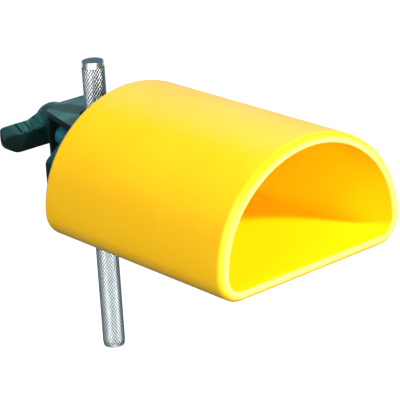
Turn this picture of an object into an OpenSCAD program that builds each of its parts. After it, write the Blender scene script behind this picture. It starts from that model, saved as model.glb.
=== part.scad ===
// Jam block: a hollow moulded block, clamped to a knurled mounting rod by a bracket with a wing handle.
// Millimetres. The origin lies on the rod's axis, in the middle of its lower grip, +Z up, mouth towards -Y.

/* [Block] */
// Width of the block across its widest line
block_w = 92; // [84:0.5:104]
// Height of the block from its flat base to its crown
block_h = 53.531; // [50.6:0.001:55]
// Length of the block from mouth to back
block_len = 105; // [80:0.5:140]
// Thickness of the moulded wall
block_wall = 4.2; // [3.9:0.1:6]
// Radius of the two long edges beside the base
base_edge_r = 10.5; // [9:0.25:13]
// Outside radius of the mouth's rim
rim_outer_r = 2.9; // [1:0.1:3]
// Inside radius of the mouth's rim
rim_inner_r = 0.9; // [0.3:0.1:1.2]
// Radius of the outside edge at the back
back_edge_r = 2.2; // [1:0.1:3.2]
// Radius of the inside corner at the back
back_fillet_r = 2; // [0.5:0.1:2.4]

/* [Mounting rod] */
// Diameter over the knurl
rod_d = 9.525; // [8.5:0.025:10.5]
// Length of the rod
rod_len = 127; // [115:0.5:180]
// Length of the grip at the rod's lower end
grip_len = 46; // [38:1:48]
// Width of the ring groove that ends the grip
ring_groove_w = 1.2; // [0.8:0.1:2]
// Depth of the ring groove
ring_groove_deep = 0.35; // [0.2:0.05:0.6]
// Chamfer at both ends of the rod
rod_chamfer = 0.8; // [0.4:0.1:1.5]
// Height of the block's base above the middle of the grip
base_z = 44.6; // [42:0.2:50]
// Distance from the rod's axis to the block's back
rod_to_back = 22; // [20:0.1:30]

/* [Bracket] */
// Height of the clamp screw above the block's base
screw_z = 25.5; // [20:0.5:29]
// Height over both flanges
clamp_h = 21; // [20.5:0.1:23]
// Thickness of each flange
flange_t = 2.8; // [2.4:0.1:3.6]
// Width of the flanges at the ear plate
flange_front_w = 43; // [36:0.5:48]
// Width of the flanges at the rear wall
flange_rear_w = 22.2; // [20:0.2:28]
// Radius of the upright edges of the rear wall
rear_edge_r = 2.2; // [1:0.1:3.5]
// Thickness of the rear wall
rear_wall_t = 2.8; // [2:0.1:4]
// Diameter of the boss round the clamp screw
boss_d = 19.4; // [18:0.1:20.4]
// Length of the ear plate
plate_w = 76.6; // [74:0.2:82]
// Length of the ear plate's level upper edge
plate_top_w = 56; // [48:0.5:58]
// Height of the ear plate's two ends
plate_end_h = 16.1; // [15:0.1:19]
// How far the ear plate reaches below the clamp screw's axis
plate_low = 13; // [12:0.1:15]
// Radius of the ear plate's corners
plate_corner_r = 3; // [1:0.1:5]
// Thickness of the ear plate
plate_t = 5.4; // [4:0.1:6]
// Thickness of the rubber gasket
gasket_t = 1.6; // [1:0.1:2.4]
// Width of the saddle in front of the rod
saddle_w = 20; // [18:0.5:26]

/* [Rod bush] */
// Wall of the bush where it passes through the flanges
bush_wall = 2.1; // [1.6:0.1:2.6]
// Step from the bush to its collar
collar_step = 1.3; // [0.8:0.1:1.6]
// Width of the slit down the bush
bush_slit = 1.6; // [0.8:0.1:2.4]

/* [Clamp screw and jaw] */
// Thread diameter of the clamp screw
screw_d = 8; // [7:0.1:8.4]
// Thread pitch
screw_pitch = 1.25; // [1:0.05:1.5]
// Turns from tight to fully open
screw_turns = 2.75; // [2:0.25:4]
// Width across the flats of the captive nut and the screw's head
hex_af = 13; // [12.5:0.1:13.4]
// Thickness of the captive nut
nut_t = 5; // [4:0.1:6.5]
// Wall left in the boss behind the captive nut
nut_wall = 2; // [1.6:0.1:4]
// Height of the screw's hex head
head_t = 5.3; // [4:0.1:6]
// Diameter of the button at the screw's tip
button_d = 7.4; // [6.4:0.1:7.6]
// Thickness of the button
button_t = 2.2; // [1.8:0.1:2.6]
// Diameter of the neck behind the button
neck_d = 4.8; // [4:0.1:5.2]
// Thickness of the jaw at its middle
jaw_t = 5.4; // [5.2:0.1:7]
// Width of the jaw
jaw_w = 24; // [20:0.5:28]
// Front wall of the jaw, between bush and button
jaw_front_wall = 1.4; // [1:0.1:1.8]
// Height of the jaw's two side wings
jaw_wing_h = 8.4; // [6:0.1:10]
// How far the jaw reaches forward beside the bush's collar
jaw_reach = 2.4; // [1.6:0.1:3]
// Chamfer at the screw's button and at the end of its thread
screw_edge = 0.55; // [0.3:0.05:0.8]

/* [Wing handle] */
// Span over both arms
handle_span = 59.6; // [52:0.2:70]
// Diameter of the hub
hub_d = 17.8; // [17.2:0.1:19]
// Length of the hub
hub_len = 10.6; // [10:0.1:14]
// Diameter of the hub's rear face
hub_rear_d = 11; // [8:0.2:14]
// Length of the hub's straight band, before it is domed
hub_band = 5.6; // [5.3:0.1:7]
// Depth of each arm, front to rear
arm_deep = 9.6; // [8:0.1:10.4]
// Distance from the screw's axis to an arm's level edge
arm_low = 6.9; // [5:0.1:7.5]
// Distance from the screw's axis to an arm's ridged edge
arm_top = 4.7; // [3:0.1:5.5]
// Rise of the arm's ridged face from front to crest
arm_slope_rise = 2.8; // [1.5:0.1:4]
// Run of the arm's ridged face from front to crest
arm_slope_run = 5; // [3:0.1:6]
// Fall of the arm from its crest to its rear
arm_rear_fall = 2.3; // [0.5:0.1:3]
// Size of the slanting cut at each arm's tip, on the level edge
tip_cut = 6.4; // [4:0.1:7.5]
// How much shorter each arm is at its rear
tip_slant = 4.8; // [1:0.1:6]
// Radius that rounds the arms along their length
arm_round_r = 1.4; // [0.6:0.1:2]
// Radius that rounds the arms' tips
tip_round_r = 3.2; // [1:0.1:3.6]
// Height above the screw's axis at which the web's crest meets the hub
web_h = 8.6; // [7.6:0.1:8.8]
// Distance from the screw's axis at which the web runs out on the arm
web_end = 12.8; // [11.5:0.1:14]
// How much the web is set back from the arm's front and rear
web_inset = 0.4; // [0.2:0.1:0.8]
// Finger ridges on each arm
ridge_count = 3; // [2:1:3]
// Distance from the screw's axis to the first ridge
ridge_start = 10.4; // [9.8:0.1:11.4]
// Distance between ridges
ridge_step = 4.7; // [4:0.1:5.2]
// Height of a ridge
ridge_h = 0.9; // [0.4:0.1:1.2]
// Width of a ridge's flat top
ridge_land = 0.5; // [0.2:0.1:1]

/* [Plate fasteners] */
// Distance from the block's widest line to each plate screw
plate_screw_inset = 17.5; // [16.5:0.1:20]
// Thread diameter of the plate screws
plate_screw_d = 6; // [5:0.1:6.5]
// Diameter of the button heads
plate_head_d = 10.5; // [9.5:0.1:12]
// Height of the button heads
plate_head_h = 3.3; // [2.6:0.1:4]
// Width across the flats of the key socket
key_af = 4; // [3:0.1:5]
// Depth of the key socket
key_deep = 2; // [1.2:0.1:2.2]
// Outside diameter of the washers
washer_d = 12; // [11:0.1:14]
// Thickness of the washers
washer_t = 1.6; // [1:0.1:2]
// Width across the flats of the lock nuts
lock_af = 10; // [8.5:0.1:11]
// Height of the lock nuts' hexagon
lock_hex_h = 5; // [4:0.1:6]
// Diameter of the lock nuts' round collar
lock_collar_d = 9.4; // [8:0.1:9.8]
// Height of the lock nuts' round collar
lock_collar_h = 2.2; // [1:0.1:3]
// Length of thread that shows past the lock nuts
thread_tail = 1.2; // [0.5:0.1:3]

/* [Clearances] */
// Radial play of the rod in its bush
rod_play = 0.05; // [0.02:0.01:0.1]
// Radial play of the bush in the flange holes
bush_play = 0.08; // [0.02:0.01:0.1]
// Gap between parts that move past each other
move_gap = 0.3; // [0.2:0.05:0.5]
// Radial play between a screw and its nut
thread_play = 0.05; // [0.02:0.01:0.1]
// Radial room round a screw in a clearance hole
hole_room = 0.3; // [0.2:0.05:0.6]
// Play round the captive nut and the screw's head in their pockets
pocket_play = 0.05; // [0.02:0.01:0.2]

/* [Hidden] */
$fn = 96;
soft_fn = 24;
over = 1;

// Block, in its end view: a quarter-turn crown, two shoulders, two base corners and a flat base.
// The shoulders' centres lie shoulder_x beside the middle, the crown's centre as far below them.
// Both are rounded to a tenth of a micrometre, so that arcs that meet share one end face.
function fine(size) = round(size * 10000) / 10000;
shoulder_x = fine((base_edge_r + block_w / 2 - block_h) / (2 - sqrt(2)));
shoulder_r = block_w / 2 - shoulder_x;
crown_r = shoulder_r + fine(shoulder_x * sqrt(2));
crown_z = base_edge_r - shoulder_x;
corner_x = block_w / 2 - base_edge_r;
back_y = -rod_to_back;
mouth_y = back_y - block_len;
back_inner_y = back_y - block_wall;

// Rod
rod_r = rod_d / 2;
rod_low_z = -grip_len / 2 - rod_chamfer;
rod_high_z = rod_low_z + rod_len;

// Heights of the clamp
axis_z = base_z + screw_z;
flange_low_z = axis_z - clamp_h / 2;
flange_high_z = axis_z + clamp_h / 2 - flange_t;
recess_h = clamp_h - 2 * flange_t;

// Radii round the rod
bush_bore_r = rod_r + rod_play;
bush_r = bush_bore_r + bush_wall;
flange_hole_r = bush_r + bush_play;
collar_r = bush_r + collar_step;
seat_r = collar_r + move_gap;

// Places along the screw's axis, from the block's back to the handle's rear
gasket_y = back_y;
plate_y = gasket_y + gasket_t;
plate_rear_y = plate_y + plate_t;
jaw_rear_y = seat_r + jaw_t;
jaw_travel = screw_pitch * screw_turns;
boss_y = jaw_rear_y + jaw_travel + move_gap;
boss_rear_y = boss_y + nut_t + nut_wall;
wall_rear_y = boss_y + rear_wall_t;
hub_y = boss_rear_y + move_gap;
hub_rear_y = hub_y + hub_len;
button_y = seat_r + jaw_front_wall + move_gap / 2;
arm_y = hub_y + (hub_len - arm_deep) / 2;
screw_r = screw_d / 2;
screw_hole_r = screw_r + hole_room;

// Flare of the flanges and the circle that rounds their rear corners
flare_a = atan2((flange_front_w - flange_rear_w) / 2, wall_rear_y - plate_y);
flare_reach = flange_rear_w / 2 * cos(flare_a) + wall_rear_y * sin(flare_a);
rear_circle_y = wall_rear_y - rear_edge_r;
rear_circle_x = (flare_reach - rear_edge_r - rear_circle_y * sin(flare_a)) / cos(flare_a);

// Plate fasteners
plate_screw_x = block_w / 2 - plate_screw_inset;
plate_screw_r = plate_screw_d / 2;
plate_hole_r = plate_screw_r + hole_room;
washer_y = back_inner_y - washer_t;
lock_y = washer_y - lock_hex_h - lock_collar_h;
plate_tip_y = lock_y - thread_tail;

// Moves a flat outline drawn in x and z to y0 and gives it a depth along +Y
module along_y(y0, deep) {
    translate([0, y0 + deep, 0]) rotate([90, 0, 0]) linear_extrude(deep) children();
}

// A cylinder along +Y at x, z
module rod_y(r, y0, deep, x = 0, z = 0) {
    translate([x, y0, z]) rotate([-90, 0, 0]) cylinder(r = r, h = deep);
}

// A hexagon along +Y with two flats level
module hex_y(flats, y0, deep, x = 0, z = 0) {
    translate([x, y0, z]) rotate([-90, 0, 0]) cylinder(d = flats / cos(30), h = deep, $fn = 6);
}

// A profile of radius and y, turned about the screw's axis
module turned_y(profile) {
    translate([0, 0, axis_z]) rotate([-90, 0, 0]) rotate_extrude() polygon(profile);
}

// Runs its children at both ears of the plate
module at_ears() {
    for (side = [-1, 1]) translate([side * plate_screw_x, 0, axis_z]) children();
}

// The waste at a convex corner of a flat outline, with the outline towards dx, dy
module corner_waste(x, y, r, dx, dy) {
    translate([x, y]) difference() {
        translate([dx > 0 ? -over : -r, dy > 0 ? -over : -r]) square(r + over);
        translate([dx * r, dy * r]) circle(r);
    }
}

// Section through the block's wall: x runs outwards from the centre of the base corners, y along the block
module wall_section() {
    inner = base_edge_r - block_wall;
    difference() {
        union() {
            translate([inner, mouth_y]) square([block_wall, block_len]);
            translate([0, back_inner_y]) square([base_edge_r, block_wall]);
        }
        corner_waste(base_edge_r, mouth_y, rim_outer_r, -1, 1);
        corner_waste(inner, mouth_y, rim_inner_r, 1, 1);
        corner_waste(base_edge_r, back_y, back_edge_r, -1, -1);
    }
    difference() {
        translate([inner - back_fillet_r, back_inner_y - back_fillet_r]) square(back_fillet_r + over);
        translate([inner - back_fillet_r, back_inner_y - back_fillet_r]) circle(back_fillet_r);
    }
}

// The wall swept round an arc of the end view, from angle a0 to a1
module wall_arc(x, z, r, a0, a1) {
    translate([x, 0, z]) rotate([-90, 0, 0]) rotate_extrude(angle = a1 - a0, start = -a1)
        translate([r - base_edge_r, 0]) wall_section();
}

// The middle of the back wall, which runs into the foot of the swept wall
module back_middle() {
    lap = base_edge_r / 2;
    side = [
        [corner_x, lap], [corner_x + lap, base_edge_r],
        for (a = [22.5, 45]) [shoulder_x, base_edge_r] + (shoulder_r - lap) * [cos(a), sin(a)]
    ];
    top = [[0, crown_z + crown_r - lap]];
    other = [for (i = [len(side) - 1 : -1 : 0]) [-side[i][0], side[i][1]]];
    along_y(back_inner_y, block_wall) polygon(concat(side, top, other));
}

module block_shell() {
    color("gold") difference() {
        translate([0, 0, base_z]) {
            wall_arc(0, crown_z, crown_r, 45, 135);
            for (side = [0, 1]) mirror([side, 0, 0]) {
                wall_arc(shoulder_x, base_edge_r, shoulder_r, 0, 45);
                wall_arc(corner_x, base_edge_r, base_edge_r, -90, 0);
            }
            translate([-corner_x, 0, base_edge_r]) rotate([0, 90, 0])
                linear_extrude(2 * corner_x) wall_section();
            back_middle();
        }
        at_ears() rod_y(plate_hole_r, back_inner_y - over, block_wall + 2 * over);
    }
}

// Outline of the ear plate: level above the flanges' roots, then falling to both ends as the block does
module plate_outline() {
    end_x = plate_w / 2;
    side = [[end_x, -plate_low], [end_x, plate_end_h - plate_low], [plate_top_w / 2, clamp_h / 2]];
    other = [for (i = [len(side) - 1 : -1 : 0]) [-side[i][0], side[i][1]]];
    translate([0, axis_z]) offset(r = plate_corner_r, $fn = soft_fn) offset(delta = -plate_corner_r)
        polygon(concat(side, other));
}

module isolation_gasket() {
    color("dimgray") difference() {
        along_y(gasket_y, gasket_t) plate_outline();
        at_ears() rod_y(plate_hole_r, gasket_y - over, gasket_t + 2 * over);
    }
}

// Outline of a flange from above: flared towards the block, with round rear corners
module flange_outline() {
    tangent = [rear_circle_x + rear_edge_r * cos(flare_a), rear_circle_y + rear_edge_r * sin(flare_a)];
    polygon([
        [flange_front_w / 2, plate_y], tangent, [rear_circle_x, wall_rear_y],
        [-rear_circle_x, wall_rear_y], [-tangent[0], tangent[1]], [-flange_front_w / 2, plate_y]
    ]);
    for (side = [-1, 1]) translate([side * rear_circle_x, rear_circle_y]) circle(rear_edge_r);
}

module bracket() {
    color("darkslategray") difference() {
        union() {
            along_y(plate_y, plate_t) plate_outline();
            for (z = [flange_low_z, flange_high_z]) translate([0, 0, z])
                linear_extrude(flange_t) flange_outline();
            // Rear wall
            translate([0, 0, flange_low_z]) linear_extrude(clamp_h) intersection() {
                flange_outline();
                translate([-flange_front_w / 2, wall_rear_y - rear_wall_t])
                    square([flange_front_w, rear_wall_t]);
            }
            // Boss round the clamp screw
            rod_y(boss_d / 2, boss_y, boss_rear_y - boss_y, z = axis_z);
            // Saddle that the bush is pressed against
            translate([-saddle_w / 2, plate_y, flange_low_z]) cube([saddle_w, -plate_y, clamp_h]);
        }
        // Seat for the bush's collar, and the rod holes
        translate([0, 0, axis_z - recess_h / 2]) cylinder(r = seat_r, h = recess_h);
        translate([0, 0, flange_low_z - over]) cylinder(r = flange_hole_r, h = clamp_h + 2 * over);
        // Pocket of the captive nut, and the screw's way through the boss
        hex_y(hex_af + 2 * pocket_play, boss_y - over, nut_t + over, z = axis_z);
        rod_y(screw_hole_r, boss_y, boss_rear_y - boss_y + over, z = axis_z);
        at_ears() rod_y(plate_hole_r, plate_y - over, plate_t + 2 * over);
    }
}

// A button head screw: domed head on the ear, thread towards the block's inside
module plate_screw() {
    difference() {
        union() {
            rod_y(plate_screw_r, plate_tip_y, plate_rear_y - plate_tip_y + plate_head_h / 2);
            translate([0, plate_rear_y, 0]) rotate([-90, 0, 0]) intersection() {
                dome_r = (pow(plate_head_d / 2, 2) + pow(plate_head_h, 2)) / (2 * plate_head_h);
                cylinder(d = plate_head_d, h = plate_head_h);
                translate([0, 0, plate_head_h - dome_r]) sphere(dome_r);
            }
        }
        hex_y(key_af, plate_rear_y + plate_head_h - key_deep, key_deep + over);
    }
}

module plate_screws() {
    color("silver") at_ears() plate_screw();
}

module plate_washers() {
    color("silver") at_ears() difference() {
        rod_y(washer_d / 2, washer_y, washer_t);
        rod_y(plate_hole_r, washer_y - over, washer_t + 2 * over);
    }
}

module lock_nuts() {
    color("lightgray") at_ears() difference() {
        union() {
            hex_y(lock_af, lock_y + lock_collar_h, lock_hex_h);
            rod_y(lock_collar_d / 2, lock_y, lock_collar_h + lock_hex_h / 2);
        }
        rod_y(plate_screw_r + thread_play, lock_y - over, washer_y - lock_y + 2 * over);
    }
}

module captive_nut() {
    color("silver") difference() {
        hex_y(hex_af, boss_y, nut_t, z = axis_z);
        rod_y(screw_r + thread_play, boss_y - over, nut_t + 2 * over, z = axis_z);
    }
}

module rod_bush() {
    color("darkslategray") translate([0, 0, axis_z]) difference() {
        union() {
            cylinder(r = bush_r, h = clamp_h - 2 * move_gap, center = true);
            cylinder(r = collar_r, h = recess_h - 2 * move_gap, center = true);
        }
        cylinder(r = bush_bore_r, h = clamp_h, center = true);
        translate([0, -bush_slit / 2, -clamp_h / 2]) cube([collar_r + over, bush_slit, clamp_h]);
    }
}

// The jaw hugs the bush's collar in front and hangs on the screw's button by a slot that opens downwards
module clamp_jaw() {
    jaw_h = recess_h - 2 * move_gap;
    jaw_front_y = seat_r - jaw_reach;
    pocket_y = seat_r + jaw_front_wall;
    color("lightslategray") difference() {
        along_y(jaw_front_y, jaw_rear_y - jaw_front_y) {
            wing_x = (jaw_w - jaw_wing_h) / 2;
            translate([0, axis_z]) circle(jaw_h / 2);
            for (side = [-1, 1]) translate([side * wing_x, axis_z]) circle(jaw_wing_h / 2);
            translate([-wing_x, axis_z - jaw_wing_h / 2]) square([2 * wing_x, jaw_wing_h]);
        }
        translate([0, 0, axis_z - jaw_h]) cylinder(r = seat_r, h = 2 * jaw_h);
        slot_y(button_d / 2 + move_gap, pocket_y, button_t + move_gap, jaw_h);
        slot_y(neck_d / 2 + move_gap, pocket_y, jaw_rear_y - pocket_y + over, jaw_h);
    }
}

// A slot that runs down from the screw's axis and has a round upper end
module slot_y(r, y0, deep, drop) {
    rod_y(r, y0, deep, z = axis_z);
    translate([-r, y0, axis_z - drop]) cube([2 * r, deep, drop]);
}

module clamp_screw() {
    neck_y = button_y + button_t;
    shank_y = jaw_rear_y + move_gap;
    color("silver") {
        turned_y([
            [0, button_y], [button_d / 2 - screw_edge, button_y], [button_d / 2, button_y + screw_edge],
            [button_d / 2, neck_y], [neck_d / 2, neck_y], [neck_d / 2, shank_y],
            [screw_r - screw_edge, shank_y], [screw_r, shank_y + screw_edge],
            [screw_r, hub_y + head_t / 2], [0, hub_y + head_t / 2]
        ]);
        hex_y(hex_af, hub_y, head_t, z = axis_z);
    }
}

// Front view of the arm towards -X, from the screw's axis to its tip, with its crest at z = 0
module arm_outline() {
    tip_x = -handle_span / 2;
    low_z = -arm_top - arm_low;
    offset(r = tip_round_r, $fn = soft_fn) offset(delta = -tip_round_r) polygon([
        [hub_d / 4, low_z], [tip_x + tip_cut, low_z], [tip_x, low_z + tip_cut], [tip_x, 0], [hub_d / 4, 0]
    ]);
}

// Cross-section of an arm or web: front to rear, and up to its crest at z = 0
module arm_section(deep) {
    low_z = -arm_top - arm_low;
    offset(r = arm_round_r, $fn = soft_fn) offset(delta = -arm_round_r) polygon([
        [0, low_z], [deep, low_z], [deep, -arm_rear_fall], [arm_slope_run, 0], [0, -arm_slope_rise]
    ]);
}

// The arm from above, shorter at its rear
module arm_plan() {
    tip_x = -handle_span / 2;
    polygon([
        [hub_d / 4, 0], [tip_x, 0], [tip_x, arm_deep / 4],
        [tip_x + tip_slant, arm_deep], [hub_d / 4, arm_deep]
    ]);
}

// A bar with that section, along +X
module arm_bar(x0, length, deep) {
    translate([x0, 0, 0]) rotate([90, 0, 90]) linear_extrude(length) arm_section(deep);
}

// The waste beside the finger ridge at x, along the bar's sloping face: steep towards the tip
module ridge_waste(x) {
    slope_a = atan2(arm_slope_rise, arm_slope_run);
    foot_x = ridge_land - ridge_step;
    translate([x, 0, -arm_slope_rise]) rotate([slope_a - 90, 0, 0])
        linear_extrude(4 * arm_deep, center = true)
            polygon([[0, -over], [0, ridge_h], [foot_x, 0], [foot_x, -over]]);
}

// One arm, with the web that climbs from it to the hub and carries the first ridge on
module handle_arm() {
    arm_reach = handle_span / 2 + over;
    web_run = web_end - hub_d / 10;
    web_a = atan2(web_h - arm_top, web_run);
    translate([0, arm_y, axis_z + arm_top]) {
        difference() {
            intersection() {
                along_y(0, arm_deep) arm_outline();
                arm_bar(-arm_reach, arm_reach + hub_d / 4, arm_deep);
                translate([0, 0, -3 * arm_low]) linear_extrude(4 * arm_low) arm_plan();
            }
            for (i = [0 : ridge_count - 1]) ridge_waste(-ridge_start - ridge_step * i);
        }
        translate([-web_end, web_inset, 0]) rotate([0, -web_a, 0]) difference() {
            arm_bar(-over, over + web_run / cos(web_a), arm_deep - 2 * web_inset);
            ridge_waste((web_end - ridge_start) / cos(web_a));
        }
    }
}

module wing_handle() {
    dome_y = hub_y + hub_band;
    dome_rise = hub_rear_y - dome_y;
    color("darkslategray") difference() {
        union() {
            turned_y(concat(
                [[0, hub_y], [hub_d / 2, hub_y]],
                [for (a = [0 : 15 : 90]) [
                    hub_rear_d / 2 + (hub_d - hub_rear_d) / 2 * cos(a), dome_y + dome_rise * sin(a)
                ]],
                [[0, hub_rear_y]]
            ));
            handle_arm();
            translate([0, 0, 2 * axis_z]) rotate([0, 180, 0]) handle_arm();
        }
        hex_y(hex_af + 2 * pocket_play, hub_y - over, head_t + over, z = axis_z);
    }
}

module mounting_rod() {
    ring_z = grip_len / 2;
    groove_wall_r = rod_r - ring_groove_deep;
    color("silver") rotate_extrude() polygon([
        [0, rod_low_z], [rod_r - rod_chamfer, rod_low_z], [rod_r, rod_low_z + rod_chamfer],
        [rod_r, ring_z], [groove_wall_r, ring_z],
        [groove_wall_r, ring_z + ring_groove_w], [rod_r, ring_z + ring_groove_w],
        [rod_r, rod_high_z - rod_chamfer], [rod_r - rod_chamfer, rod_high_z], [0, rod_high_z]
    ]);
}

block_shell();
isolation_gasket();
bracket();
plate_screws();
plate_washers();
lock_nuts();
captive_nut();
rod_bush();
clamp_jaw();
clamp_screw();
wing_handle();
mounting_rod();
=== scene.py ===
import math

import bmesh
import bpy
from mathutils import Matrix, Vector


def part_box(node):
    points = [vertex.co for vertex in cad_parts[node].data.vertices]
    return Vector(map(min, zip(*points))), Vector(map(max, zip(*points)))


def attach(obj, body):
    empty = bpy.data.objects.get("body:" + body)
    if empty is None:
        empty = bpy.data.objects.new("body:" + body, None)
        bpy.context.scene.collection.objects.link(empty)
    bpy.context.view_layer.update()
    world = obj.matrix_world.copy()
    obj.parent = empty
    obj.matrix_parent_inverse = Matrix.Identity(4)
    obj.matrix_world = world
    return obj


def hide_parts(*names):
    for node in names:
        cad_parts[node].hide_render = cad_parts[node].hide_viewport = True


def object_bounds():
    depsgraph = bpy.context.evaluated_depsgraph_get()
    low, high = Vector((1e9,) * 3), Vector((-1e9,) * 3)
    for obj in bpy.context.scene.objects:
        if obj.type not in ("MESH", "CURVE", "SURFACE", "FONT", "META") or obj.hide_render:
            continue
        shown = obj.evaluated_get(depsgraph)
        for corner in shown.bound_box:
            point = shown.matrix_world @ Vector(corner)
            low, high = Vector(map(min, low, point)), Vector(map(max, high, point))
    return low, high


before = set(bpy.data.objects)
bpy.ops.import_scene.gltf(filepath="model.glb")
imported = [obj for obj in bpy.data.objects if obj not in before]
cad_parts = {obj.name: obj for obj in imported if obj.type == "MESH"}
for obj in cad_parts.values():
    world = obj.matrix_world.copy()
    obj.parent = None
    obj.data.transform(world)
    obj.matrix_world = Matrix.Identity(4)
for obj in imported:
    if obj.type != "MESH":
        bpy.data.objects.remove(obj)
cadLow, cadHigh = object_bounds()
mm = 0.001
print("frame loaded with", len(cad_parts), "nodes")

# places that the solids give, in millimetres
shellLow, shellHigh = (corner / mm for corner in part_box("block_shell"))
nutLow, nutHigh = (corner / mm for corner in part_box("captive_nut"))
rodLow, rodHigh = (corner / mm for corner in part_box("mounting_rod"))
baseZ = shellLow.z
axisZ = (nutLow.z + nutHigh.z) / 2


# small mesh tools, in millimetres

def newMesh(name, bm):
    bmesh.ops.recalc_face_normals(bm, faces=bm.faces)
    for v in bm.verts:
        v.co *= mm
    mesh = bpy.data.meshes.new(name)
    bm.to_mesh(mesh)
    bm.free()
    return mesh


largeFaceWeight = 80  # out of 100


def place(name, mesh, material, body, node, smooth=True, weighted=True):
    piece = bpy.data.objects.new(name, mesh)
    bpy.context.scene.collection.objects.link(piece)
    mesh.materials.append(material)
    for face in mesh.polygons:
        face.use_smooth = smooth
    if weighted:  # keeps the flats flat beside their rounded edges
        normals = piece.modifiers.new("evenNormals", "WEIGHTED_NORMAL")
        normals.weight = largeFaceWeight
        normals.keep_sharp = True
    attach(piece, body)
    if node:
        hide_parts(node)


def quarterArc(steps):
    angles = (math.pi / 2 * i / steps for i in range(steps + 1))
    return [(math.cos(a), math.sin(a)) for a in angles]


def stitch(bm, rings):
    for low, high in zip(rings, rings[1:]):
        for i in range(len(low)):
            j = (i + 1) % len(low)
            bm.faces.new((low[i], low[j], high[j], high[i]))


def ringY(bm, x, y, z, radius, steps):
    # a ring about an axis along Y; its radius may change round the turn
    ring = []
    for i in range(steps):
        a = 2 * math.pi * i / steps
        r = radius(a) if callable(radius) else radius
        ring.append(bm.verts.new((x + r * math.cos(a), y, z + r * math.sin(a))))
    return ring


def turnedY(bm, rows, x, z, steps, capped=True):
    # rows of (radius, y) turned about an axis along Y, with both ends closed or joined to each other
    rings = [ringY(bm, x, y, z, radius, steps) for radius, y in rows]
    stitch(bm, rings if capped else rings + rings[:1])
    if capped:
        bm.faces.new(rings[0])
        bm.faces.new(rings[-1])


def hexFlats(acrossFlats, limit=math.inf):
    # a hexagon's radius round its axis, with its corners cut at a limit
    def radius(a):
        turn = a % (math.pi / 3) - math.pi / 6
        return min(limit, acrossFlats / 2 / math.cos(turn))
    return radius


thread = {"depth": 0.6, "root": 0.15, "flank": 0.7, "rowsPerTurn": 8}  # shares of a pitch and of half a pitch


def threadRows(major, pitch, first, last):
    # a right-handed vee thread with flat crests, fading out towards last
    depth = thread["depth"] * pitch
    count = round(thread["rowsPerTurn"] * (last - first) / pitch)

    def row(y, share):
        def radius(a):
            u = abs(2 * ((y / pitch + a / (2 * math.pi)) % 1) - 1)
            return major - depth * share * (1 - min(1, max(0, (u - thread["root"]) / thread["flank"])))
        return radius

    rows = []
    for i in range(count + 1):
        y = first + (last - first) * i / count
        rows.append((row(y, min(1, (count - i) / thread["rowsPerTurn"])), y))
    return rows


softEdge = {"weld": 0.0005, "flatDegrees": 0.4, "sharpDegrees": 32, "segments": 3, "profile": 0.5}


def softened(node, width):
    # the solid's own mesh with its sharp edges rounded
    bm = bmesh.new()
    bm.from_mesh(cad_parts[node].data)
    for v in bm.verts:
        v.co /= mm
    flat, sharp = (math.radians(softEdge[k]) for k in ("flatDegrees", "sharpDegrees"))
    bmesh.ops.remove_doubles(bm, verts=bm.verts, dist=softEdge["weld"])
    bmesh.ops.dissolve_limit(bm, angle_limit=flat, verts=bm.verts, edges=bm.edges)
    edges = [e for e in bm.edges if e.is_manifold and e.calc_face_angle() > sharp]
    bmesh.ops.bevel(
        bm, geom=edges, offset=width, offset_type="OFFSET", segments=softEdge["segments"],
        profile=softEdge["profile"], affect="EDGES", clamp_overlap=True, miter_outer="ARC",
    )
    return newMesh(node, bm)


# shader node tools

numberKind, vectorKind = "NodeSocketFloat", "NodeSocketVector"


def newGroup(name, inputs, outputs):
    group = bpy.data.node_groups.new(name, "ShaderNodeTree")
    for label, kind, value in inputs:
        socket = group.interface.new_socket(name=label, in_out="INPUT", socket_type=kind)
        socket.default_value = value
    for label in outputs:
        group.interface.new_socket(name=label, in_out="OUTPUT", socket_type=numberKind)
    return group, group.nodes.new("NodeGroupInput"), group.nodes.new("NodeGroupOutput")


def addNode(tree, kind, links=None, **settings):
    node = tree.nodes.new(kind)
    for key, value in settings.items():
        setattr(node, key, value)
    for socket, source in (links or {}).items():
        if isinstance(source, bpy.types.NodeSocket):
            tree.links.new(source, node.inputs[socket])
        else:
            node.inputs[socket].default_value = source
    return node


def mathNode(tree, operation, first, second=0.0, clamp=False):
    links = {0: first, 1: second}
    return addNode(tree, "ShaderNodeMath", links, operation=operation, use_clamp=clamp).outputs[0]


def rampNode(tree, value, low, high, toLow=0.0, toHigh=1.0):
    links = {"Value": value, "From Min": low, "From Max": high, "To Min": toLow, "To Max": toHigh}
    return addNode(tree, "ShaderNodeMapRange", links).outputs["Result"]


def between(tree, share, low, high):
    return rampNode(tree, share, 0.0, 1.0, low, high)


def mixColour(tree, factor, first, second):
    # a Mix node's sockets 6 and 7 and its output 2 are the ones for colours
    return addNode(tree, "ShaderNodeMix", {0: factor, 6: first, 7: second}, data_type="RGBA").outputs[2]


def noiseNode(tree, vector, scale, detail, roughness):
    links = {"Vector": vector, "Scale": scale, "Detail": detail, "Roughness": roughness}
    return addNode(tree, "ShaderNodeTexNoise", links).outputs["Fac"]


def dotNode(tree, vector, way):
    node = addNode(tree, "ShaderNodeVectorMath", {0: vector, 1: way}, operation="DOT_PRODUCT")
    return node.outputs["Value"]


def pieceSpot(tree):
    return addNode(tree, "ShaderNodeTexCoord").outputs["Object"]


def facingUp(tree):
    normal = addNode(tree, "ShaderNodeNewGeometry").outputs["Normal"]
    return addNode(tree, "ShaderNodeSeparateXYZ", {0: normal}).outputs["Z"]


def edgeBend(tree):
    return addNode(tree, "ShaderNodeNewGeometry").outputs["Pointiness"]


def pointMask(tree, name):
    # a value that the mesh keeps on its points
    return addNode(tree, "ShaderNodeAttribute", attribute_name=name).outputs["Fac"]


def linear(red, green, blue):
    # screen values from 0 to 255 as a shader colour
    def one(value):
        value /= 255
        return value / 12.92 if value <= 0.04045 else ((value + 0.055) / 1.055) ** 2.4
    return (one(red), one(green), one(blue), 1.0)


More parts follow.
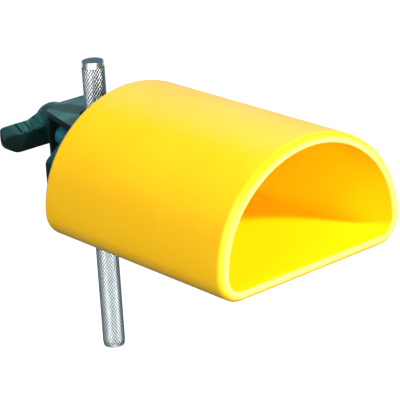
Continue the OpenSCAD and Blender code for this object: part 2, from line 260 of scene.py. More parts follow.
# effects that several materials share; a noise's detail goes with its roughness

noiseSpread = (0.3, 0.7)  # where most of a noise's values lie
skinNoise = {"mottle": 60.0, "mottleDetail": (3.0, 0.55), "grain": 2200.0, "grainDetail": (2.0, 0.6)}


def makeMouldedSkin():
    # a slow mottle and a fine grain
    inputs = (
        ("Mottle Scale", numberKind, skinNoise["mottle"]), ("Grain Scale", numberKind, skinNoise["grain"]),
    )
    tree, given, made = newGroup("mouldedSkin", inputs, ("Mottle", "Grain"))
    spot = pieceSpot(tree)
    mottle = noiseNode(tree, spot, given.outputs["Mottle Scale"], *skinNoise["mottleDetail"])
    grain = noiseNode(tree, spot, given.outputs["Grain Scale"], *skinNoise["grainDetail"])
    tree.links.new(rampNode(tree, mottle, *noiseSpread), made.inputs["Mottle"])
    tree.links.new(grain, made.inputs["Grain"])
    return tree


rubNoise = {"start": 0.52, "full": 0.6, "breakup": 400.0, "detail": (3.0, 0.5), "patches": (0.35, 0.65)}


def makeEdgeRub():
    # edges that hands have polished or rubbed pale
    inputs = (
        ("Start", numberKind, rubNoise["start"]), ("Full", numberKind, rubNoise["full"]),
        ("Breakup", numberKind, rubNoise["breakup"]),
    )
    tree, given, made = newGroup("edgeRub", inputs, ("Mask",))
    edge = rampNode(tree, edgeBend(tree), given.outputs["Start"], given.outputs["Full"])
    patch = noiseNode(tree, pieceSpot(tree), given.outputs["Breakup"], *rubNoise["detail"])
    patch = rampNode(tree, patch, *rubNoise["patches"])
    tree.links.new(mathNode(tree, "MULTIPLY", edge, patch, True), made.inputs["Mask"])
    return tree


dustAndSheenNoise = {
    "amount": 0.3, "patch": 90.0, "detail": (4.0, 0.65), "patches": (0.0, 0.75), "facing": (0.2, 0.95),
}


def makeDustAndTopSheen():
    # a thin film on faces that look up: painted sheen on the black plastic, dust on the rubber
    inputs = (("Amount", numberKind, dustAndSheenNoise["amount"]), ("Patch Scale", numberKind, dustAndSheenNoise["patch"]))
    tree, given, made = newGroup("dustAndTopSheen", inputs, ("Mask",))
    up = rampNode(tree, facingUp(tree), *dustAndSheenNoise["facing"])
    patch = noiseNode(tree, pieceSpot(tree), given.outputs["Patch Scale"], *dustAndSheenNoise["detail"])
    patch = rampNode(tree, patch, *dustAndSheenNoise["patches"])
    dustAndSheen = mathNode(tree, "MULTIPLY", up, patch, True)
    dustAndSheen = mathNode(tree, "MULTIPLY", dustAndSheen, given.outputs["Amount"], True)
    tree.links.new(dustAndSheen, made.inputs["Mask"])
    return tree


lineNoise = {
    "lines": 9000.0, "along": (0.0, 1.0, 0.0), "lineDetail": 3.0,
    "tarnish": 260.0, "tarnishDetail": (4.0, 0.6), "patches": (0.35, 0.75),
}


def makeToolLines():
    # fine lines that a lathe leaves round an axis along Y or Z, and patches of tarnish
    inputs = (("Line Scale", numberKind, lineNoise["lines"]), ("Along", vectorKind, lineNoise["along"]))
    tree, given, made = newGroup("toolLines", inputs, ("Lines", "Tarnish"))
    spot = pieceSpot(tree)
    along = dotNode(tree, spot, given.outputs["Along"])
    links = {"W": along, "Scale": given.outputs["Line Scale"], "Detail": lineNoise["lineDetail"]}
    lines = addNode(tree, "ShaderNodeTexNoise", links, noise_dimensions="1D").outputs["Fac"]
    tree.links.new(lines, made.inputs["Lines"])
    tarnish = noiseNode(tree, spot, lineNoise["tarnish"], *lineNoise["tarnishDetail"])
    tree.links.new(rampNode(tree, tarnish, *lineNoise["patches"]), made.inputs["Tarnish"])
    return tree


mouldedSkin = makeMouldedSkin()
edgeRub = makeEdgeRub()
dustAndTopSheen = makeDustAndTopSheen()
toolLines = makeToolLines()


def newMaterial(name):
    material = bpy.data.materials.new(name)
    material.use_nodes = True
    return material, material.node_tree, material.node_tree.nodes["Principled BSDF"]


def useGroup(tree, group, values):
    node = tree.nodes.new("ShaderNodeGroup")
    node.node_tree = group
    for label, value in values.items():
        node.inputs[label].default_value = value
    return node.outputs


def useSkin(tree, look):
    return useGroup(tree, mouldedSkin, {"Mottle Scale": look["mottle"], "Grain Scale": look["grain"]})


def useRub(tree, look):
    start, full = look["rub"]
    return useGroup(tree, edgeRub, {"Start": start, "Full": full})["Mask"]


def useDustAndSheen(tree, look):
    return useGroup(tree, dustAndTopSheen, {"Amount": look["dustAndSheenAmount"]})["Mask"]


def useLines(tree, look):
    return useGroup(tree, toolLines, {"Line Scale": look["lines"], "Along": look["along"]})


def bumped(tree, shader, height, strength, depth):
    links = {"Height": height, "Strength": strength, "Distance": depth * mm}
    tree.links.new(addNode(tree, "ShaderNodeBump", links).outputs["Normal"], shader.inputs["Normal"])


# materials; a bump is its strength and its depth in millimetres

# yellow plastic: the pale colour on faces that look up is a painted sheen, the pale rim colour a painted
# highlight, the inner faces' colour painted cavity light
yellow = {
    "pale": linear(255, 200, 26), "deep": linear(255, 194, 18), "inside": linear(255, 211, 8),
    "crownSheen": linear(255, 220, 150), "crownSheenFacing": (0.9, 0.99), "crownSheenMost": 0.16,
    "rimHighlight": linear(255, 210, 124), "rimHighlightShare": (0.9, 0.6),
    "mottle": 45.0, "grain": 2600.0, "rub": (0.53, 0.62), "polish": 0.08,
    "rough": (0.3, 0.4), "specular": 0.4, "bump": (0.35, 0.004),
}


def yellowPlastic():
    material, tree, shader = newMaterial("yellowPlastic")
    skin = useSkin(tree, yellow)
    colour = mixColour(tree, skin["Mottle"], yellow["pale"], yellow["deep"])
    # painted sheen: faces that look up are paled as if they caught the overhead light
    blend = rampNode(tree, facingUp(tree), *yellow["crownSheenFacing"], 0.0, yellow["crownSheenMost"])
    colour = mixColour(tree, blend, colour, yellow["crownSheen"])
    colour = mixColour(tree, pointMask(tree, "inside"), colour, yellow["inside"])  # painted light: the inner faces get a brighter, purer yellow and none of the painted sheen
    highlightAmount = between(tree, skin["Mottle"], *yellow["rimHighlightShare"])
    rimHighlight = mathNode(tree, "MULTIPLY", pointMask(tree, "rim"), highlightAmount)  # painted highlight along the mouth's rim and inner lip
    tree.links.new(mixColour(tree, rimHighlight, colour, yellow["rimHighlight"]), shader.inputs["Base Color"])
    rough = between(tree, skin["Mottle"], *yellow["rough"])
    polish = mathNode(tree, "MULTIPLY", useRub(tree, yellow), yellow["polish"])
    tree.links.new(mathNode(tree, "SUBTRACT", rough, polish), shader.inputs["Roughness"])
    shader.inputs["Specular IOR Level"].default_value = yellow["specular"]
    bumped(tree, shader, skin["Grain"], *yellow["bump"])
    return material


# black plastic: the teal film on faces that look up is a painted sheen, the darker outer arms and creases
# painted shade, the paler edges wear
black = {
    "pale": linear(22, 44, 44), "deep": linear(14, 30, 29),
    "worn": linear(44, 72, 72), "wornMost": 0.12, "armShading": linear(8, 16, 15), "armShadingMost": 0.8,
    "dustAndSheen": linear(66, 132, 134), "dustAndSheenAmount": 0.75, "dustAndSheenLeft": 0.25,
    "creaseShade": linear(6, 13, 12), "creaseShadeBend": (0.498, 0.46),
    "mottle": 130.0, "grain": 1500.0, "rub": (0.515, 0.6),
    "rough": (0.36, 0.5), "specular": 0.24, "sheen": (0.45, 0.95, 1.0, 1.0), "bump": (0.5, 0.02),
}


def blackPlastic():
    material, tree, shader = newMaterial("blackPlastic")
    skin = useSkin(tree, black)
    colour = mixColour(tree, skin["Mottle"], black["deep"], black["pale"])
    worn = mathNode(tree, "MULTIPLY", useRub(tree, black), black["wornMost"])
    colour = mixColour(tree, worn, colour, black["worn"])
    outerArm = pointMask(tree, "outerArm")  # painted shade: the handle's outer arms are darkened and keep little of the painted sheen
    armShading = mathNode(tree, "MULTIPLY", outerArm, black["armShadingMost"])
    colour = mixColour(tree, armShading, colour, black["armShading"])
    # painted sheen: a pale teal film on faces that look up, mostly kept off the outer arms
    left = between(tree, outerArm, 1.0, black["dustAndSheenLeft"])
    dustAndSheen = mathNode(tree, "MULTIPLY", useDustAndSheen(tree, black), left)
    colour = mixColour(tree, dustAndSheen, colour, black["dustAndSheen"])
    # painted shade darkens the handle's creases
    creaseShade = rampNode(tree, edgeBend(tree), *black["creaseShadeBend"])
    creaseShadeMask = mathNode(tree, "MULTIPLY", pointMask(tree, "creaseShaded"), creaseShade)
    tree.links.new(mixColour(tree, creaseShadeMask, colour, black["creaseShade"]), shader.inputs["Base Color"])
    rough = rampNode(tree, skin["Grain"], *noiseSpread, *black["rough"])
    tree.links.new(rough, shader.inputs["Roughness"])
    shader.inputs["Specular IOR Level"].default_value = black["specular"]
    shader.inputs["Specular Tint"].default_value = black["sheen"]
    bumped(tree, shader, skin["Grain"], *black["bump"])
    return material


rubber = {
    "pale": linear(34, 36, 37), "deep": linear(22, 24, 25), "dustAndSheen": linear(120, 122, 120), "dustAndSheenAmount": 0.2,
    "mottle": 200.0, "grain": 3000.0, "rough": (0.75, 0.92), "bump": (0.6, 0.03),
}


def gasketRubber():
    material, tree, shader = newMaterial("gasketRubber")
    skin = useSkin(tree, rubber)
    colour = mixColour(tree, skin["Mottle"], rubber["deep"], rubber["pale"])
    colour = mixColour(tree, useDustAndSheen(tree, rubber), colour, rubber["dustAndSheen"])
    tree.links.new(colour, shader.inputs["Base Color"])
    rough = rampNode(tree, skin["Grain"], *noiseSpread, *rubber["rough"])
    tree.links.new(rough, shader.inputs["Roughness"])
    bumped(tree, shader, skin["Grain"], *rubber["bump"])
    return material


nylon = {
    "pale": linear(36, 40, 42), "deep": linear(26, 30, 32),
    "mottle": 220.0, "grain": 2600.0, "rough": (0.34, 0.46), "bump": (0.3, 0.01),
}


def blackNylon():
    material, tree, shader = newMaterial("blackNylon")
    skin = useSkin(tree, nylon)
    colour = mixColour(tree, skin["Mottle"], nylon["deep"], nylon["pale"])
    tree.links.new(colour, shader.inputs["Base Color"])
    tree.links.new(between(tree, skin["Mottle"], *nylon["rough"]), shader.inputs["Roughness"])
    bumped(tree, shader, skin["Grain"], *nylon["bump"])
    return material


steel = {
    "bright": linear(206, 209, 212), "dull": linear(168, 172, 174), "worn": linear(226, 228, 230),
    "lines": 9000.0, "along": (0.0, 1.0, 0.0), "rub": (0.52, 0.6), "rough": (0.24, 0.42),
    "bump": (0.25, 0.008),
}


def zincSteel():
    material, tree, shader = newMaterial("zincSteel")
    marks = useLines(tree, steel)
    colour = mixColour(tree, marks["Tarnish"], steel["bright"], steel["dull"])
    colour = mixColour(tree, useRub(tree, steel), colour, steel["worn"])
    tree.links.new(colour, shader.inputs["Base Color"])
    shader.inputs["Metallic"].default_value = 1.0
    tree.links.new(between(tree, marks["Tarnish"], *steel["rough"]), shader.inputs["Roughness"])
    bumped(tree, shader, marks["Lines"], *steel["bump"])
    return material


casting = {
    "pale": linear(54, 178, 184), "deep": linear(26, 130, 138), "worn": linear(120, 160, 166),
    "mottle": 300.0, "grain": 1800.0, "rub": (0.52, 0.6),
    "metallic": 0.85, "rough": (0.4, 0.6), "bump": (0.5, 0.03),
}


def jawMetal():
    material, tree, shader = newMaterial("jawMetal")
    skin = useSkin(tree, casting)
    colour = mixColour(tree, skin["Mottle"], casting["deep"], casting["pale"])
    colour = mixColour(tree, useRub(tree, casting), colour, casting["worn"])
    tree.links.new(colour, shader.inputs["Base Color"])
    shader.inputs["Metallic"].default_value = casting["metallic"]
    rough = rampNode(tree, skin["Grain"], *noiseSpread, *casting["rough"])
    tree.links.new(rough, shader.inputs["Roughness"])
    bumped(tree, shader, skin["Grain"], *casting["bump"])
    return material


# chrome: the dark teal valley colour is painted shade in the knurl
chrome = {
    "bright": linear(236, 240, 240), "dull": linear(206, 216, 220),
    "valley": linear(14, 42, 54), "valleyDepth": (0.4, 0.9), "valleyRough": 0.2,
    "cap": linear(136, 166, 182), "capFacing": (0.8, 0.98), "capRough": 0.3,
    "lines": 5000.0, "along": (0.0, 0.0, 1.0), "rough": (0.26, 0.34), "bump": (0.12, 0.006),
}


def rodChrome():
    # the knurl's own depth, kept on its points, paints shade into the valleys
    material, tree, shader = newMaterial("rodChrome")
    marks = useLines(tree, chrome)
    valley = pointMask(tree, "valley")
    colour = mixColour(tree, marks["Tarnish"], chrome["bright"], chrome["dull"])
    colour = mixColour(tree, rampNode(tree, valley, *chrome["valleyDepth"]), colour, chrome["valley"])
    cap = rampNode(tree, mathNode(tree, "ABSOLUTE", facingUp(tree)), *chrome["capFacing"])
    tree.links.new(mixColour(tree, cap, colour, chrome["cap"]), shader.inputs["Base Color"])
    shader.inputs["Metallic"].default_value = 1.0
    rough = between(tree, marks["Tarnish"], *chrome["rough"])
    for mask, more in ((valley, chrome["valleyRough"]), (cap, chrome["capRough"])):
        rough = mathNode(tree, "ADD", rough, mathNode(tree, "MULTIPLY", mask, more))
    tree.links.new(rough, shader.inputs["Roughness"])
    bumped(tree, shader, marks["Lines"], *chrome["bump"])
    return material


yellowSkin = yellowPlastic()
blackSkin = blackPlastic()
rubberSkin = gasketRubber()
nylonSkin = blackNylon()
steelSkin = zincSteel()
jawSkin = jawMetal()
rodSkin = rodChrome()
print("materials ready:", len(bpy.data.materials))


# the hollow block

block = {
    "height": 53.531, "wall": 4.2, "baseEdge": 10.5, "rimOuter": 2.9, "rimInner": 0.9, "rimHighlightStart": 0.6,
    "backEdge": 2.2, "backFillet": 2.0, "screwHole": 3.3, "screwX": 28.5, "holeSteps": 32,
    "cornerSteps": 14, "shoulderSteps": 18, "crownSteps": 44, "baseSteps": 10, "edgeSteps": 7, "wallRows": 12,
}


def blockOutline():
    # points of the end view with their outward directions, round from the right end of the base
    edge = block["baseEdge"]
    half = shellHigh.x
    shoulderX = (edge + half - block["height"]) / (2 - math.sqrt(2))
    shoulderR = half - shoulderX
    crownR = shoulderR + shoulderX * math.sqrt(2)
    arcs = (
        (half - edge, edge, edge, -90, 0, block["cornerSteps"]),
        (shoulderX, edge, shoulderR, 0, 45, block["shoulderSteps"]),
        (0, edge - shoulderX, crownR, 45, 135, block["crownSteps"]),
        (-shoulderX, edge, shoulderR, 135, 180, block["shoulderSteps"]),
        (edge - half, edge, edge, 180, 270, block["cornerSteps"]),
    )
    points = []
    for x, z, radius, first, last, steps in arcs:
        for i in range(steps):
            a = math.radians(first + (last - first) * i / steps)
            points.append((x + radius * math.cos(a), z + radius * math.sin(a), math.cos(a), math.sin(a)))
    for i in range(block["baseSteps"]):
        share = i / block["baseSteps"]
        points.append(((half - edge) * (2 * share - 1), 0, 0, -1))
    return points


def blockSection():
    # depth under the outside, place along the block and the share of painted highlight on the rim,
    # from the back's edge over the rim and inwards
    sizes = ("wall", "backEdge", "rimOuter", "rimInner", "rimHighlightStart", "backFillet")
    wall, edge, rim, lip, highlightStart, fillet = (block[k] for k in sizes)
    mouth, back = shellLow.y, shellHigh.y
    inside = back - wall
    arc = quarterArc(block["edgeSteps"])

    def straight(depth, first, last):
        count = block["wallRows"]
        return [(depth, first + (last - first) * i / count, 0) for i in range(1, count)]

    section = [(edge - edge * s, back - edge + edge * c, 0) for c, s in arc]
    section += straight(0, back - edge, mouth + rim)
    section += [(rim - rim * c, mouth + rim - rim * s, max(0, (1 - c) * (1 + highlightStart) - highlightStart)) for c, s in arc]
    section += [(wall - lip + lip * s, mouth + lip - lip * c, c) for c, s in arc]
    section += straight(wall, mouth + lip, inside - fillet)
    section += [(wall + fillet - fillet * c, inside - fillet + fillet * s, 0) for c, s in arc]
    return section


def edgesOf(bm, ring):
    return [bm.edges.get((a, b)) or bm.edges.new((a, b)) for a, b in zip(ring, ring[1:] + ring[:1])]


def makeBlock():
    bm = bmesh.new()
    outline = blockOutline()
    rows = []
    rim, hidden = (bm.verts.layers.float.new(name) for name in ("rim", "inside"))
    for depth, y, highlightAmount in blockSection():
        rows.append([bm.verts.new((x - nx * depth, y, baseZ + z - nz * depth)) for x, z, nx, nz in outline])
        for v in rows[-1]:
            # where the painted rim highlight goes
            v[rim] = highlightAmount
            # marks the inner faces, which get the painted cavity light
            v[hidden] = 1.0 if depth >= block["wall"] else 0.0
    stitch(bm, rows)
    back, inside = shellHigh.y, shellHigh.y - block["wall"]
    outer, inner = edgesOf(bm, rows[0]), edgesOf(bm, rows[-1])
    for side in (-1, 1):
        x = side * block["screwX"]
        rings = [ringY(bm, x, y, axisZ, block["screwHole"], block["holeSteps"]) for y in (back, inside)]
        stitch(bm, rings)
        for v in rings[1]:
            v[hidden] = 1.0
        outer += edgesOf(bm, rings[0])
        inner += edgesOf(bm, rings[1])
    for loop in (outer, inner):
        bmesh.ops.triangle_fill(bm, edges=loop, use_beauty=True)
    place("blockShell", newMesh("blockShell", bm), yellowSkin, "block", "block_shell")


makeBlock()
print("block made")


# moulded and cast pieces that keep the solid's form: node, width of the rounded edges, finish, body and slot

softPieces = {
    "isolationGasket": ("isolation_gasket", 0.4, rubberSkin, "block", "gasket_rubber"),
    "clampBracket": ("bracket", 0.55, blackSkin, "block", "black_plastic"),
    "rodBush": ("rod_bush", 0.25, nylonSkin, "bush", "black_nylon"),
    "clampJaw": ("clamp_jaw", 0.5, jawSkin, "jaw", "jaw_metal"),
    "captiveNut": ("captive_nut", 0.3, steelSkin, "block", "zinc_steel"),
    "plateWashers": ("plate_washers", 0.2, steelSkin, "block", "zinc_steel"),
}

for name, (node, width, skin, body, slot) in softPieces.items():
    place(name, softened(node, width), skin, body, node)


# screws with cut threads, and lock nuts with their nylon rings; places are along Y

clampScrew = {
    "r": 4.0, "pitch": 1.25, "flats": 13.0, "cornerCut": 0.51, "buttonR": 3.7, "neckR": 2.4,
    "tipEdge": 0.55, "buttonEdge": 0.15, "headEdge": 0.4, "steps": 96,
    "tip": 10.06, "neck": (12.26, 14.21), "head": (24.95, 30.25), "plainFrom": 23.9,
}


def makeClampScrew():
    s, bm = clampScrew, bmesh.new()
    button, edge, bevel, corner = (s[k] for k in ("buttonR", "tipEdge", "buttonEdge", "headEdge"))
    neckFrom, neckTo = s["neck"]
    headFrom, headTo = s["head"]
    rows = [(button - edge, s["tip"]), (button, s["tip"] + edge)]
    rows += [(button, neckFrom - bevel), (button - bevel, neckFrom)]
    rows += [(s["neckR"], neckFrom), (s["neckR"], neckTo)]
    rows += [(s["r"] - thread["depth"] * s["pitch"], neckTo)]
    rows += threadRows(s["r"], s["pitch"], neckTo + edge, s["plainFrom"])
    full, cut = hexFlats(s["flats"]), hexFlats(s["flats"], s["cornerCut"] * s["flats"])
    rows += [(s["r"], headFrom), (cut, headFrom), (full, headFrom + corner)]
    rows += [(full, headTo - corner), (cut, headTo)]
    turnedY(bm, rows, 0, axisZ, s["steps"])
    place("clampScrew", newMesh("clampScrew", bm), steelSkin, "wing", "clamp_screw")


plateScrew = {
    "r": 3.0, "pitch": 1.0, "headR": 5.25, "headEdge": 0.15, "flatR": 2.5, "domeSteps": 8, "tipEdge": 0.6,
    "socketFlats": 4.0, "socketDeep": 1.5, "mouthWider": 0.25, "mouthDeep": 0.12,
    "drillR": 0.3, "drillDeep": 0.5, "steps": 48,
    "tip": -36.2, "threadTo": -26.0, "head": -15.0, "top": -12.05,
}


def makePlateScrews():
    s, bm = plateScrew, bmesh.new()
    headR, head, top, edge, flat = (s[k] for k in ("headR", "head", "top", "headEdge", "flatR"))
    rows = [(s["r"] - s["tipEdge"], s["tip"])]
    rows += threadRows(s["r"], s["pitch"], s["tip"] + s["tipEdge"], s["threadTo"])
    rows += [(s["r"], head), (headR - edge, head), (headR, head + edge)]
    rise = top - head - edge
    rows += [(flat + (headR - flat) * c, head + edge + rise * h) for c, h in quarterArc(s["domeSteps"])[1:]]
    socket, mouth = hexFlats(s["socketFlats"]), hexFlats(s["socketFlats"] + s["mouthWider"])
    floor = top - s["socketDeep"]
    rows += [(mouth, top), (socket, top - s["mouthDeep"]), (socket, floor)]
    rows += [(s["drillR"], floor - s["drillDeep"])]
    for side in (-1, 1):
        turnedY(bm, rows, side * block["screwX"], axisZ, s["steps"])
    place("plateScrews", newMesh("plateScrews", bm), steelSkin, "block", "plate_screws")


lockNut = {
    "flats": 10.0, "cornerCut": 0.52, "bore": 3.05, "collarR": 4.7, "collarStep": 0.1, "lip": 0.05,
    "ringR": 4.05, "ringPlay": 0.02, "ringSunk": 0.3, "ringEdge": 0.2, "ringBevel": 0.15,
    "edge": 0.35, "edgeSteps": 5, "steps": 60,
    "seat": -27.8, "shoulder": -32.8, "end": -35.0, "ringFrom": -33.2,
}


def makeLockNuts():
    n, nuts, rings = lockNut, bmesh.new(), bmesh.new()
    bore, edge, collar, step = (n[k] for k in ("bore", "edge", "collarR", "collarStep"))
    seat, shoulder, end = (n[k] for k in ("seat", "shoulder", "end"))
    ringR, ringEdge, ringFrom = (n[k] for k in ("ringR", "ringEdge", "ringFrom"))
    face = end + n["ringSunk"]
    full, cut = hexFlats(n["flats"]), hexFlats(n["flats"], n["cornerCut"] * n["flats"])
    rows = [(bore + edge, seat), (cut, seat), (full, seat - edge), (full, shoulder + edge), (cut, shoulder)]
    rows += [(collar + step, shoulder), (collar, shoulder - step)]
    rows += [(collar - edge + edge * c, end + edge - edge * h) for c, h in quarterArc(n["edgeSteps"])]
    rows += [(ringR - ringEdge, end + n["lip"]), (ringR, face), (ringR, ringFrom)]
    rows += [(bore, ringFrom), (bore, seat - edge)]
    outside = ringR - n["ringPlay"]
    ring = [(bore, ringFrom), (outside, ringFrom), (outside, face + n["ringBevel"])]
    ring += [(ringR - ringEdge, face), (bore + ringEdge, face), (bore, face + ringEdge)]
    for side in (-1, 1):
        turnedY(nuts, rows, side * block["screwX"], axisZ, n["steps"], capped=False)
        turnedY(rings, ring, side * block["screwX"], axisZ, n["steps"], capped=False)
    place("lockRings", newMesh("lockRings", rings), nylonSkin, "block", None)
    place("lockNuts", newMesh("lockNuts", nuts), steelSkin, "block", "lock_nuts")


makeClampScrew()
makePlateScrews()
makeLockNuts()


# the wing handle; hub, allOver and tips count the smoothing passes

wing = {
    "grid": 0.25, "ease": 0.5, "hub": 1, "allOver": 2, "hubRadius": 9.5,
    "tips": 90, "tipBands": 9, "tipFrom": 21.5, "tipFull": 25.5, "outerArm": (13.0, 25.0),
}


def makeWing():
    # the solid's form with the soft edges of a moulding, rounder at the tips than on the ridges
    rough = bpy.data.objects.new("wingRough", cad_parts["wing_handle"].data.copy())
    bpy.context.scene.collection.objects.link(rough)
    grid = rough.modifiers.new("grid", "REMESH")
    grid.mode = "VOXEL"
    grid.voxel_size = wing["grid"] * mm
    made = rough.evaluated_get(bpy.context.evaluated_depsgraph_get())
    bm = bmesh.new()
    bm.from_mesh(made.data)
    bpy.data.objects.remove(rough)
    # masks for the painted shade on the outer arms and in the creases
    outerArm, creaseShaded = (bm.verts.layers.float.new(name) for name in ("outerArm", "creaseShaded"))
    for v in bm.verts:
        v.co /= mm
    out = {v: math.hypot(v.co.x, v.co.z - axisZ) for v in bm.verts}
    near, far = wing["outerArm"]
    for v in bm.verts:
        v[outerArm] = min(1, max(0, (out[v] - near) / (far - near)))
        v[creaseShaded] = 1.0
    passes = [(wing["hub"], 0), (wing["allOver"], wing["hubRadius"])]
    bands = wing["tipBands"]
    for i in range(bands):
        share = i / (bands - 1)
        passes.append((wing["tips"] // bands, wing["tipFrom"] * (1 - share) + wing["tipFull"] * share))
    axes = {"use_axis_x": True, "use_axis_y": True, "use_axis_z": True}
    for times, reach in passes:
        verts = [v for v in bm.verts if out[v] > reach]
        for _ in range(times):
            bmesh.ops.smooth_vert(bm, verts=verts, factor=wing["ease"], **axes)
    mesh = newMesh("wingHandle", bm)
    place("wingHandle", mesh, blackSkin, "wing", "wing_handle", weighted=False)


makeWing()
print("clamp made")


# the knurled rod

knurl = {
    "around": 24, "pitch": 1.75, "depth": 0.13, "plateau": 0.5, "endValley": 0.2, "runOut": 0.45,
    "topBand": 2.2, "lowBand": 1.2, "bandRadius": 4.55, "bandEdge": 0.45, "edgeSteps": 5,
}


def makeRod():
    # rows of valley crossings, with a flat-topped diamond between every four of them
    bm = bmesh.new()
    radius = rodHigh.x
    low = radius - knurl["depth"]
    around = knurl["around"]
    start = rodLow.z + knurl["lowBand"] + knurl["runOut"]
    end = rodHigh.z - knurl["topBand"] - knurl["runOut"]
    count = 2 * round((end - start) / knurl["pitch"])
    step = (end - start) / count
    half = math.pi / around
    # how deep each point lies, which sets the painted shade in the valleys
    valley = bm.verts.layers.float.new("valley")

    def point(angle, z, r, depth):
        v = bm.verts.new((r * math.cos(angle), r * math.sin(angle), z))
        v[valley] = depth
        return v

    rows = []
    for j in range(count + 1):
        rows.append([point((2 * i + j % 2) * half, start + j * step, low, 1.0) for i in range(around)])

    def crossing(j, slot):
        # slot counts half steps round the rod
        return rows[j][((slot - j % 2) // 2) % around]

    share = knurl["plateau"]
    for j in range(1, count):
        for i in range(around):
            slot = 2 * i + 1 + j % 2
            middle, z = slot * half, start + j * step
            corners, top = [], []
            for da, dz in ((-1, 0), (0, -1), (1, 0), (0, 1)):
                corners.append(crossing(j + dz, slot + da))
                top.append(point(middle + da * share * half, z + dz * share * step, radius, 0.0))
            bm.faces.new(top)
            for k in range(4):
                n = (k + 1) % 4
                bm.faces.new((corners[k], corners[n], top[n], top[k]))

    # half diamonds at both ends, then a run-out to the turned bands
    band, edge = knurl["bandRadius"], knurl["bandEdge"]
    arc = quarterArc(knurl["edgeSteps"])[1:]
    for j, out, bandZ, tipZ in ((0, -1, start, rodLow.z), (count, 1, end, rodHigh.z)):
        ring = []
        for i in range(around):
            slot = 2 * i + 1 + j % 2
            peak = point(slot * half, bandZ, radius, knurl["endValley"])
            left, right, apex = crossing(j, slot - 1), crossing(j, slot + 1), crossing(j - out, slot)
            bm.faces.new((left, peak, apex))
            bm.faces.new((peak, right, apex))
            ring += [left, peak]
        first = (j % 2) * half
        profile = [(band, bandZ + out * knurl["runOut"]), (band, tipZ - out * edge)]
        profile += [(band - edge + edge * c, tipZ - out * edge + out * edge * s) for c, s in arc]
        loops = [ring]
        for r, z in profile:
            loops.append([point(first + k * half, z, r, 0.0) for k in range(2 * around)])
        stitch(bm, loops)
        bm.faces.new(loops[-1])
    mesh = newMesh("mountingRod", bm)
    place("mountingRod", mesh, rodSkin, "rod", "mounting_rod", smooth=False, weighted=False)


makeRod()
print("rod made")


# stage, light and camera

view = {
    "azimuth": -39.868, "elevation": 20.436, "roll": 3.335, "distance": 639.761, "focalPixels": 1862.366,
    "imagePixels": 400, "aimX": -53.433, "aimAboveBase": 44.305, "sensor": 36.0, "clip": (0.01, 20.0),
}

stage = {
    "drop": 0.40, "half": 4.0, "glow": 0.9, "rough": 0.9,
    "pale": (0.62, 0.62, 0.62, 1.0), "bounce": (0.03, 0.03, 0.03, 1.0),
}

light = {
    "low": 0.1, "high": 0.12, "heights": (-0.2, 1.0),
    "room": 0.14, "back": 0.62, "front": 1.75, "worldFade": (0.6, 1.0), "floorFade": (0.7, 1.15),
    "plain": (1.0, 1.0, 1.0, 1.0), "dusk": (0.5, 0.88, 1.0, 1.0),
    "key": 39.0, "keyWay": (0.335, -1.42, 1.0), "keyDistance": 1.6, "keySize": 0.16,
    "fill": 26.5, "fillWay": (-0.44, -1.0, 0.2), "fillDistance": 1.6, "fillSize": 1.0,
    "side": 12.5, "sideWay": (-1.2, -0.3, 0.8), "sideDistance": 1.6, "sideSize": 0.9,
}


def mirroredRoom(tree, vector, glossy, blend):
    # what metal mirrors: a white front and a pale backdrop between dim, bluish sides
    near, far = blend
    room, back, front = (light[k] for k in ("room", "back", "front"))
    a = math.radians(view["azimuth"])
    along = dotNode(tree, vector, (-math.sin(a), math.cos(a), 0.0))
    behind = rampNode(tree, along, near, far, room, back)
    before = rampNode(tree, along, -near, -far, 0.0, front - room)
    level = mathNode(tree, "ADD", behind, before)
    dim = mathNode(tree, "MULTIPLY", glossy, rampNode(tree, level, room, back, 1.0, 0.0))
    return level, mixColour(tree, dim, light["plain"], light["dusk"])


def seenPlainly(tree, path):
    return mathNode(tree, "ADD", path.outputs["Is Camera Ray"], path.outputs["Is Transmission Ray"], True)


def makeFloor():
    # white to the camera, with the shadow kept
    mesh = bpy.data.meshes.new("floor")
    z, half = cadLow.z - stage["drop"], stage["half"]
    corners = [(-half, -half, z), (half, -half, z), (half, half, z), (-half, half, z)]
    mesh.from_pydata(corners, [], [(0, 1, 2, 3)])
    floor = bpy.data.objects.new("floor", mesh)
    bpy.context.scene.collection.objects.link(floor)
    material, tree, shader = newMaterial("paleFloor")
    mesh.materials.append(material)
    shader.inputs["Roughness"].default_value = stage["rough"]
    shader.inputs["Specular IOR Level"].default_value = 0.0
    path = addNode(tree, "ShaderNodeLightPath")
    seen = seenPlainly(tree, path)
    tree.links.new(mixColour(tree, seen, stage["bounce"], stage["pale"]), shader.inputs["Base Color"])
    glossy = path.outputs["Is Glossy Ray"]
    level, tint = mirroredRoom(tree, pieceSpot(tree), glossy, light["floorFade"])
    tree.links.new(tint, shader.inputs["Emission Color"])
    mirrored = mathNode(tree, "MULTIPLY", glossy, level)
    glow = mathNode(tree, "ADD", mathNode(tree, "MULTIPLY", seen, stage["glow"]), mirrored)
    tree.links.new(glow, shader.inputs["Emission Strength"])


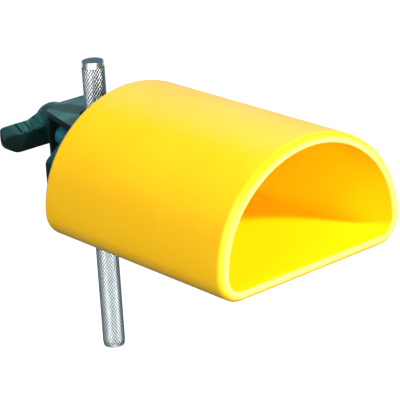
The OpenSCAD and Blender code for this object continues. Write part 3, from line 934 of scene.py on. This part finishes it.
def makeWorld():
    # white to the camera, brighter above for the light that falls on the part
    world = bpy.data.worlds.new("studio")
    bpy.context.scene.world = world
    world.use_nodes = True
    tree = world.node_tree
    back = tree.nodes["Background"]
    path = addNode(tree, "ShaderNodeLightPath")
    way = addNode(tree, "ShaderNodeTexCoord").outputs["Generated"]
    height = addNode(tree, "ShaderNodeSeparateXYZ", {0: way}).outputs["Z"]
    ambient = rampNode(tree, height, *light["heights"], light["low"], light["high"])
    glossy = path.outputs["Is Glossy Ray"]
    level, tint = mirroredRoom(tree, way, glossy, light["worldFade"])
    tree.links.new(tint, back.inputs["Color"])
    lift = mathNode(tree, "MULTIPLY", glossy, mathNode(tree, "SUBTRACT", level, ambient))
    dim = mathNode(tree, "ADD", ambient, lift)
    tree.links.new(mathNode(tree, "MAXIMUM", dim, seenPlainly(tree, path)), back.inputs["Strength"])


def makeLamp(name, mirrored=True):
    way, distance, size, power = (light[name + part] for part in ("Way", "Distance", "Size", ""))
    data = bpy.data.lights.new(name, "AREA")
    data.size = size
    data.energy = power
    lamp = bpy.data.objects.new(name, data)
    bpy.context.scene.collection.objects.link(lamp)
    middle = (cadLow + cadHigh) / 2
    direction = Vector(way).normalized()
    lamp.location = middle + direction * distance
    lamp.rotation_mode = "QUATERNION"
    lamp.rotation_quaternion = (-direction).to_track_quat("-Z", "Y")
    lamp.visible_glossy = mirrored


def makeCamera():
    data = bpy.data.cameras.new("camera")
    camera = bpy.data.objects.new("camera", data)
    bpy.context.scene.collection.objects.link(camera)
    a, e, r = (math.radians(view[k]) for k in ("azimuth", "elevation", "roll"))
    back = Vector((math.sin(a) * math.cos(e), -math.cos(a) * math.cos(e), math.sin(e)))
    right = (-back).cross(Vector((0, 0, 1))).normalized()
    down = (-back).cross(right)
    rolledRight = math.cos(r) * right + math.sin(r) * down
    rolledDown = math.cos(r) * down - math.sin(r) * right
    aim = Vector((view["aimX"], shellLow.y, baseZ + view["aimAboveBase"]))
    spot = (aim + back * view["distance"]) * mm
    turn = Matrix((rolledRight, -rolledDown, back)).transposed()
    camera.matrix_world = Matrix.Translation(spot) @ turn.to_4x4()
    data.sensor_width = view["sensor"]
    data.lens = data.sensor_width * view["focalPixels"] / view["imagePixels"]
    data.clip_start, data.clip_end = view["clip"]
    bpy.context.scene.camera = camera


makeFloor()
makeWorld()
makeLamp("key", mirrored=False)  # its image would blow out the block's crown from behind
makeLamp("fill")
makeLamp("side")
makeCamera()
bpy.context.scene.view_settings.view_transform = "Standard"
print("stage, light and camera ready")
